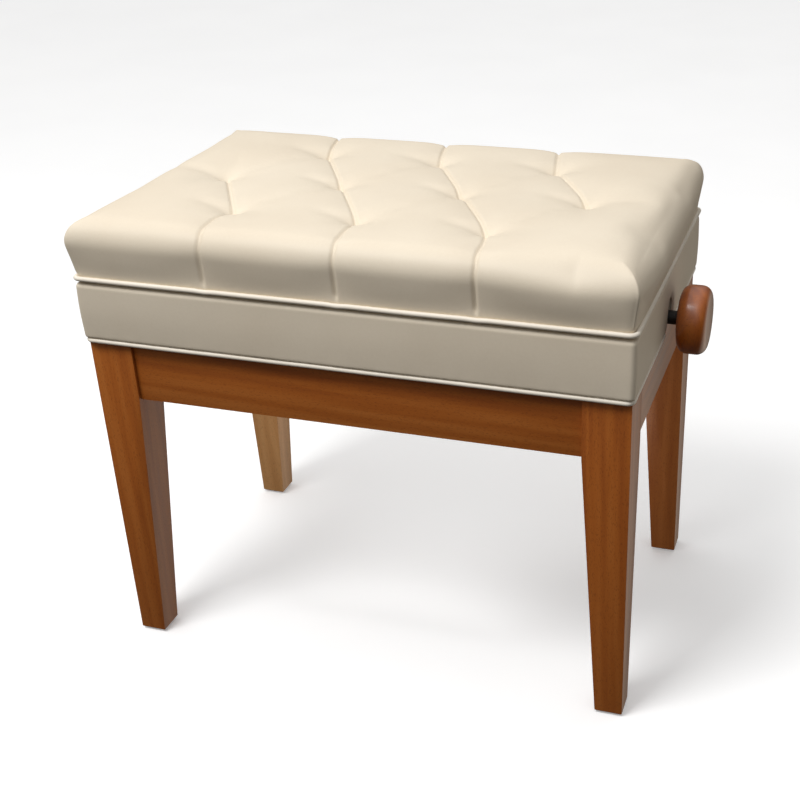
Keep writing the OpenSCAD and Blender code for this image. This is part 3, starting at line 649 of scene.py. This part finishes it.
def rounded_form(co, slack):
    """Moves the box grid onto the cushion's outline, drawn in by slack so that there is room for
    the stuffing. The high power in plan keeps the upright corners tight while the top edge rolls
    over wide. Returns positions and outward normals."""
    corner_power = 7
    inner_x, inner_y = BELLY_X - ROUNDING, BELLY_Y - ROUNDING
    core = np.column_stack([np.clip(co[:, 0], -inner_x, inner_x), np.clip(co[:, 1], -inner_y, inner_y),
                            np.minimum(co[:, 2], CUSHION_TOP - ROUNDING)])
    away = co - core
    plan = (np.abs(away[:, 0]) ** corner_power + np.abs(away[:, 1]) ** corner_power) ** (1 / corner_power)
    length = np.hypot(plan, away[:, 2])
    unit = away / np.maximum(length, 1e-9)[:, None]
    placed = core + unit * ROUNDING
    slant = np.clip((BELLY_Z - placed[:, 2]) / (BELLY_Z - CUSHION_FOOT), 0, 1)
    for axis, half in ((0, BELLY_X), (1, BELLY_Y)):
        edge = np.clip((np.abs(placed[:, axis]) - half + ROUNDING) / ROUNDING, 0, 1)
        placed[:, axis] -= np.sign(placed[:, axis]) * slant * edge * FOOT_IN
    normal = unit / np.maximum(np.linalg.norm(unit, axis=1), 1e-9)[:, None]
    return placed - normal * (slack * side_fade(placed[:, 2]))[:, None], normal


def side_fade(z):
    """1 on top of the cushion, falling to 0 at its welt."""
    return np.clip((z - CUSHION_FOOT) / (BELLY_Z - CUSHION_FOOT), 0, 1) ** 0.6


def calmed(obj, moved, passes):
    """Averages a field of movements between neighbouring vertices, which irons out stray kinks."""
    ends = np.zeros(len(obj.data.edges) * 2, dtype=int)
    obj.data.edges.foreach_get("vertices", ends)
    a, b = ends.reshape(-1, 2).T
    shared = np.bincount(ends, minlength=len(moved))[:, None]
    for _ in range(passes):
        total = np.zeros_like(moved)
        np.add.at(total, a, moved[b])
        np.add.at(total, b, moved[a])
        moved = 0.5 * moved + 0.5 * total / shared
    return moved


def stuffed(obj, weight, cap):
    """Stuffs the shell by cloth simulation: the cover is held by the sewn weight, filled with
    pressure, and no point may end further than cap from where it started."""
    sewn = obj.vertex_groups.new(name="sewn")
    for index, value in enumerate(weight):
        if value > 0.01:
            sewn.add([index], float(value), "REPLACE")
    start = coords(obj)
    cloth = obj.modifiers.new("stuffing", "CLOTH")
    cloth.point_cache.frame_start, cloth.point_cache.frame_end = 1, STUFFING_STEPS
    fabric = cloth.settings
    fabric.quality = 5
    fabric.mass = 0.3
    fabric.tension_stiffness = fabric.compression_stiffness = 15
    fabric.shear_stiffness = 8
    fabric.bending_stiffness = 3
    fabric.vertex_group_mass = "sewn"
    fabric.use_pressure = True
    fabric.uniform_pressure_force = 4
    fabric.effector_weights.gravity = 0
    for step in range(1, STUFFING_STEPS + 1):
        scene.frame_set(step)
    applied(obj)
    scene.frame_set(1)
    moved = calmed(obj, coords(obj) - start, 8)
    length = np.maximum(np.linalg.norm(moved, axis=1), 1e-9)
    limited = cap * np.tanh(length / cap)
    return start + moved * (limited / length)[:, None]


def subdivided(name, verts, faces):
    """A mesh object with one level of smooth subdivision applied."""
    obj = add_mesh(name, verts, faces)
    split = obj.modifiers.new("split", "SUBSURF")
    split.levels = split.render_levels = 1
    return applied(obj)


def close_underside(obj):
    """Fills the open loop under the seat board."""
    bm = bmesh.new()
    bm.from_mesh(obj.data)
    bmesh.ops.remove_doubles(bm, verts=bm.verts, dist=1e-6)
    bmesh.ops.holes_fill(bm, edges=[e for e in bm.edges if e.is_boundary], sides=0)
    bmesh.ops.recalc_face_normals(bm, faces=bm.faces)
    bm.to_mesh(obj.data)
    bm.free()


def vertex_normals(obj):
    normal = np.zeros(len(obj.data.vertices) * 3)
    obj.data.vertex_normals.foreach_get("vector", normal)
    return normal.reshape(-1, 3)


def tufted_cushion():
    """The vinyl cushion: stuffed by cloth simulation between its tufts and seams, then pleated."""
    flat, faces, foot = cushion_grid(GRID_STEP)
    placed, normal = rounded_form(flat, STUFFING)
    fade = side_fade(placed[:, 2])
    placed = placed - normal * (pulled_in(flat[:, :2]) * fade)[:, None]
    shell = add_mesh("cushion_shell", placed, faces)
    outward(shell)
    placed = stuffed(shell, sewn_weight(flat[:, :2], placed[:, 2]), STUFFING_CAP)
    bpy.data.objects.remove(shell)

    verts, flat_verts, rings = [tuple(p) for p in placed], [tuple(p) for p in flat], [foot]
    hem = 18 * MM
    inset_x, inset_y = board_hi.x - hem, board_hi.y - hem
    tucks = [(CUSHION_FOOT - 3 * MM, 1.5 * MM), (board_lo.z - 0.8 * MM, 3 * MM),
             (board_lo.z - 0.8 * MM, None), (board_lo.z + 1 * MM, None)]
    for z, pull in tucks:
        ring = []
        for index in foot:
            x, y, _ = placed[index]
            if pull is None:
                x, y = np.clip(x, -inset_x, inset_x), np.clip(y, -inset_y, inset_y)
            else:
                x -= math.copysign(pull, x) * (abs(x) > BELLY_X - CORNER_ZONE)
                y -= math.copysign(pull, y) * (abs(y) > BELLY_Y - CORNER_ZONE)
            ring.append(len(verts))
            verts.append((x, y, z))
            flat_verts.append((x, y, z))
        rings.append(ring)
    for a, b in zip(rings, rings[1:]):
        n = len(a)
        faces += [(a[i], b[i], b[(i + 1) % n], a[(i + 1) % n]) for i in range(n)]
    obj = subdivided("tufted_cushion", verts, faces)
    pattern = subdivided("cushion_pattern", flat_verts, faces)
    outward(obj)
    obj.data.update()
    fine = coords(obj)
    depth = pleat_depth(coords(pattern)[:, :2])
    depth = depth * np.clip((fine[:, 2] - CUSHION_FOOT) / PLEAT_FADE, 0, 1)
    set_coords(obj, fine - vertex_normals(obj) * depth[:, None])
    bpy.data.objects.remove(pattern)
    close_underside(obj)
    obj.data.shade_smooth()
    place_piece(obj, "seat", VINYL, ["seat_cover", "seat_foam"])


# ---------------------------------------------------------------- piping and skirt

NOTCH_HALF = 14 * MM  # half the width of the arched notch in each short side of the skirt
NOTCH_Z = AXIS_Z + 7 * MM  # height of the centre of its arch
TUCK = 5 * MM  # bend with which the lower welt tucks into a notch


def rounded_path(hx, hy, corner, step):
    """Closed path round a rectangle with round corners, counterclockwise from the right side's
    middle, as positions and outward directions in plan."""
    points, outs = [], []

    def straight(a, b, out):
        n = max(2, int(round(math.dist(a, b) / step)))
        for k in range(n):
            points.append((a[0] + (b[0] - a[0]) * k / n, a[1] + (b[1] - a[1]) * k / n))
            outs.append(out)

    def turn(cx, cy, start):
        n = max(8, int(round(corner * math.pi / 2 / step * 1.6)))
        for k in range(n):
            a = math.radians(start + 90 * k / n)
            points.append((cx + corner * math.cos(a), cy + corner * math.sin(a)))
            outs.append((math.cos(a), math.sin(a)))

    x, y = hx - corner, hy - corner
    straight((hx, 0), (hx, y), (1, 0))
    turn(x, y, 0)
    straight((x, hy), (-x, hy), (0, 1))
    turn(-x, y, 90)
    straight((-hx, y), (-hx, -y), (-1, 0))
    turn(-x, -y, 180)
    straight((-x, -hy), (x, -hy), (0, -1))
    turn(x, -y, 270)
    straight((hx, -y), (hx, 0), (1, 0))
    return np.array(points), np.array(outs)


def tube_faces(rings, points, closed=True):
    """Quads between neighbouring rings of points; a closed tube joins its last ring to its first."""
    faces = []
    for i in range(rings if closed else rings - 1):
        j = (i + 1) % rings
        for k in range(points):
            n = (k + 1) % points
            faces.append((i * points + k, j * points + k, j * points + n, i * points + n))
    return faces


def sweep(name, centres, outs, section, closed=True):
    """Sweeps a section of (outward, up) points along plan positions with their outward directions."""
    verts = []
    n, m = len(centres), len(section)
    for centre, out in zip(centres, outs):
        for o, u in section:
            verts.append((centre[0] + out[0] * o, centre[1] + out[1] * o, centre[2] + u))
    faces = tube_faces(n, m, closed)
    if not closed:
        faces.append(tuple(range(m)))
        faces.append(tuple(reversed([(n - 1) * m + k for k in range(m)])))
    obj = add_mesh(name, verts, faces)
    outward(obj)
    return obj


def cord_section(radius, flange):
    """Round welt cord with the seam allowance that runs in from it."""
    ring = arc(0, 0, radius, 160, -160, 14)
    return ring + [(-radius - flange, -0.35 * MM), (-radius - flange, 0.35 * MM)]


def upper_piping():
    """Welt between cushion and skirt, nudged where the front and back seams meet it."""
    radius = (upper_hi.z - upper_lo.z) / 2
    z = (upper_lo.z + upper_hi.z) / 2
    sag, dent, seam_width, wander_size = 0.7 * MM, 0.4 * MM, 7 * MM, 0.35 * MM
    plan, outs = rounded_path(upper_hi.x - radius, upper_hi.y - radius, 7 * MM, 3 * MM)
    centres = []
    for (x, y), out in zip(plan, outs):
        wander = noise.noise(Vector((x * 14, y * 14, 3.1)))
        nudge = 0.0
        for seam_x, side in [(s, -1) for s in FRONT_EDGE] + [(s, 1) for s in BACK_EDGE]:
            if y * side > 0:
                nudge += math.exp(-((x - seam_x) / seam_width) ** 2)
        lift = wander_size * wander - sag * nudge
        centres.append((x - out[0] * dent * nudge, y - out[1] * dent * nudge, z + lift))
    obj = sweep("upper_piping", centres, outs, cord_section(radius * 0.96, 4 * MM))
    # piping vinyl: lighter than the cushion, a painted highlight
    place_piece(obj, "seat", PIPING_PAINTED_HIGHLIGHT, ["upper_welt"])


def lower_piping():
    """Welt round the skirt's lower edge, in two lengths whose ends tuck into the side notches."""
    radius = (lower_hi.z - lower_lo.z) / 2
    z = (lower_lo.z + lower_hi.z) / 2
    plan, outs = rounded_path(lower_hi.x - radius, lower_hi.y - radius, 6 * MM, 3 * MM)
    for name, side in (("lower_piping_rear", 1), ("lower_piping_front", -1)):
        picked = [(tuple(p), tuple(o)) for p, o in zip(plan, outs)
                  if p[1] * side > NOTCH_HALF + radius + 3 * MM]
        if side < 0:
            start = min(range(len(picked)), key=lambda i: (picked[i][0][0] > 0, -picked[i][0][1]))
            picked = picked[start:] + picked[:start]
        ends = []
        for sign, (p, o) in ((1, picked[0]), (-1, picked[-1])):
            x_side = math.copysign(1, p[0])
            bend = []
            for k in range(1, 9):
                a = math.radians(90 * k / 8)
                bend.append(((p[0] - x_side * TUCK * (1 - math.cos(a)),
                              p[1] - side * TUCK * math.sin(a)),
                             (x_side * math.cos(a), -side * math.sin(a))))
            last = bend[-1]
            bend.append(((last[0][0] - x_side * TUCK, last[0][1]), last[1]))
            ends.append(list(reversed(bend)) if sign > 0 else bend)
        run = ends[0] + picked + ends[1]
        centres = [(p[0], p[1], z + 0.3 * MM * noise.noise(Vector((p[0] * 15, p[1] * 15, 8.0))))
                   for p, _ in run]
        section = arc(0, 0, radius * 0.97, 0, 360, 14)[:-1]
        obj = sweep(name, centres, [o for _, o in run], section, closed=False)
        # piping vinyl: lighter than the skirt, a painted highlight
        place_piece(obj, "seat", PIPING_PAINTED_HIGHLIGHT, ["lower_welt"])


def skirt_profile():
    """Section of the padded skirt as (outward, height) points: down the outer face from the rolled
    top edge, round the hem, and back up the inside, where it lies on the board."""
    top, low = skirt_hi.z, skirt_lo.z
    wall = skirt_hi.x - side_board_hi.x
    roll, hem, swell = 5 * MM, 3 * MM, 0.7 * MM
    outer = arc(-roll, top - roll, roll, 90, 0, 8)
    belly = [(swell * math.sin(math.pi * t), top - roll - (top - low - (roll + hem)) * t)
             for t in np.linspace(0.04, 0.96, 16)]
    foot = arc(-hem, low + hem, hem, 0, -90, 5)
    inside = [(-wall - 6 * MM, low), (-wall - 6 * MM, low + 1.6 * MM), (-wall - 0.05 * MM, low + 1.9 * MM),
              (-wall - 0.05 * MM, top - 0.6 * MM), (-wall - 10 * MM, top - 0.3 * MM),
              (-wall - 10 * MM, top + 0.4 * MM)]
    return outer + belly + foot + inside


def skirt_upholstery():
    """Padded vinyl round the skirt boards, notched for the spindle on both short sides."""
    plan, outs = rounded_path(skirt_hi.x, skirt_hi.y, 5.5 * MM, 2.5 * MM)
    section = skirt_profile()
    ripple_size, pucker_size, pucker_height = 0.35 * MM, 0.3 * MM, 12 * MM
    notch_pull, notch_reach = 2.2 * MM, 4 * MM
    verts = []
    for (x, y), out in zip(plan, outs):
        for o, z in section:
            ripple = ripple_size * noise.noise(Vector((x * 11, y * 11, z * 18)))
            near_hem = max(0.0, 1 - (z - skirt_lo.z) / pucker_height)
            pucker = pucker_size * noise.noise(Vector((x * 90, y * 90, 2.0))) * near_hem
            inward = 0.0
            if abs(x) > skirt_hi.x - 1 * MM and o > -8 * MM:
                gap = (abs(y) if z < NOTCH_Z else math.hypot(y, z - NOTCH_Z)) - NOTCH_HALF
                inward = notch_pull * max(0.0, 1 - max(0.0, gap) / notch_reach) ** 2
            shift = o + (ripple + pucker) * (o > -6 * MM) - inward
            verts.append((x + out[0] * shift, y + out[1] * shift, z))
    obj = add_mesh("skirt_upholstery", verts, tube_faces(len(plan), len(section)))
    outward(obj)
    cutter = arch_cutter()
    cut = obj.modifiers.new("notch", "BOOLEAN")
    cut.operation = "DIFFERENCE"
    cut.solver = "EXACT"
    cut.object = cutter
    applied(obj)
    bpy.data.objects.remove(cutter)
    obj.data.shade_smooth()
    obj.data.set_sharp_from_angle(angle=math.radians(50))
    place_piece(obj, "seat", VINYL, ["skirt_cover"])


def arch_cutter():
    """Bar with an arched top that runs right through both short sides."""
    below = skirt_lo.z - 20 * MM
    outline = [(NOTCH_HALF, below)] + arc(0, NOTCH_Z, NOTCH_HALF, 0, 180, 24) + [(-NOTCH_HALF, below)]
    m = len(outline)
    reach = 400 * MM
    verts = [(x, y, z) for x in (-reach, reach) for y, z in outline]
    faces = [tuple(range(m)), tuple(reversed(range(m, 2 * m)))]
    faces += [(k, k + m, (k + 1) % m + m, (k + 1) % m) for k in range(m)]
    obj = add_mesh("arch_cutter", verts, faces, smooth=False)
    outward(obj)
    return obj


# ---------------------------------------------------------------- metal and small parts


def small_parts():
    """CAD nodes whose shape is right get steel, nylon, rubber or twine by their record slot."""
    finish = {"black_steel": BLACK_STEEL, "zinc_steel": ZINC, "nylon": NYLON,
              "glide_rubber": GLIDE, "twine": TWINE}
    for row in frame["record"]["subparts"]:
        mat = finish.get(row["material_slot"])
        if mat is not None:
            assign(frame["nodes"][row["node"]], mat)
    assign(frame["nodes"]["spindle"], OXIDE_STEEL)


# ---------------------------------------------------------------- studio


def studio():
    """Pale floor, a soft key light from high in front, and a dome that is brightest overhead."""
    floor = add_mesh("floor", [(-9, -9, 0), (9, -9, 0), (9, 9, 0), (-9, 9, 0)], [(0, 1, 2, 3)])
    assign(floor, plain_material("floor_paint", (0.93, 0.93, 0.93), (0.95, 0.95, 0.95), (0.8, 0.95),
                                 3.0, 0.0001))
    shine = floor.data.materials[0].node_tree.nodes["Principled BSDF"]
    shine.inputs["Emission Color"].default_value = (1, 1, 1, 1)
    shine.inputs["Emission Strength"].default_value = 0.22
    floor.visible_diffuse = False
    floor.visible_glossy = False
    world = bpy.data.worlds.new("studio")
    scene.world = world
    world.use_nodes = True
    tree = world.node_tree
    back = tree.nodes["Background"]
    place = node(tree, "ShaderNodeTexCoord")
    split = node(tree, "ShaderNodeSeparateXYZ", {"Vector": place.outputs["Generated"]})
    above = value_range(tree, split.outputs["Z"], 0.05, 1.04, 0.03, 0.9)
    shade = value_range(tree, split.outputs["X"], 1.08, 0.32, -0.1, 0.8)
    above = math_node(tree, "MULTIPLY", above, shade)
    behind = node(tree, "ShaderNodeVectorMath", {0: place.outputs["Generated"], 1: (0.66, 0.60, -0.45)},
                  operation="DOT_PRODUCT")
    glow = value_range(tree, behind.outputs["Value"], 0.0, 0.85, 0.76, 0.99)
    tree.links.new(math_node(tree, "ADD", above, glow), back.inputs["Strength"])
    warmth = value_range(tree, split.outputs["Z"], 0.0, 1.0, -0.1, 0.5)
    tree.links.new(ramp(tree, warmth, [(0.0, (1.0, 0.90, 0.76)), (1.0, (1.0, 1.0, 1.0))]),
                   back.inputs["Color"])
    backdrop = node(tree, "ShaderNodeBackground", {"Color": (0.93, 0.93, 0.93, 1), "Strength": 1.0})
    seen = node(tree, "ShaderNodeLightPath")
    mixed = node(tree, "ShaderNodeMixShader", {"Fac": seen.outputs["Is Camera Ray"]})
    tree.links.new(back.outputs["Background"], mixed.inputs[1])
    tree.links.new(backdrop.outputs["Background"], mixed.inputs[2])
    tree.links.new(mixed.outputs["Shader"], tree.nodes["World Output"].inputs["Surface"])
    lamp("key", (-0.60, -1.15, 2.50), (0, 0, 0.4), 0.9, 37)
    lamp("floor_bounce", (0, -0.12, 0.17), (0, 0.30, 0.21), 0.25, 0.44, 135)


def lamp(name, place, target, size, watts, spread=180):
    """Square soft box aimed at a target."""
    light = bpy.data.lights.new(name, "AREA")
    light.energy = watts
    light.size = size
    light.spread = math.radians(spread)
    obj = bpy.data.objects.new(name, light)
    obj.location = place
    obj.rotation_euler = (Vector(place) - Vector(target)).to_track_quat("Z", "Y").to_euler()
    scene.collection.objects.link(obj)


def camera():
    """Camera at the height, turn, tilt and roll that the bench was seen from."""
    place = Vector((0.4624, -1.1623, 0.8810))
    turn, tilt, roll = -0.3123, 0.4883, -0.0253
    focal_share = 1.5889
    sensor = 36.0
    ahead = Vector((math.sin(turn) * math.cos(tilt), math.cos(turn) * math.cos(tilt), -math.sin(tilt)))
    right = Vector((math.cos(turn), -math.sin(turn), 0))
    up = right.cross(ahead)
    x_axis = right * math.cos(roll) + up * math.sin(roll)
    y_axis = up * math.cos(roll) - right * math.sin(roll)
    data = bpy.data.cameras.new("camera")
    data.sensor_width = sensor
    data.lens = focal_share * sensor
    data.shift_x, data.shift_y = -0.11, 0.0235
    obj = bpy.data.objects.new("camera", data)
    turned = Matrix((x_axis, y_axis, -ahead)).transposed().to_4x4()
    obj.matrix_world = Matrix.Translation(place) @ turned
    scene.collection.objects.link(obj)
    scene.camera = obj


# ---------------------------------------------------------------- build

camera()
studio()
wooden_frame()
raw_wood()
knob("knob_on_the_right", "knob_right", 1)
knob("knob_on_the_left", "knob_left", -1)
tufted_cushion()
upper_piping()
lower_piping()
skirt_upholstery()
small_parts()
scene.view_settings.view_transform = "Standard"
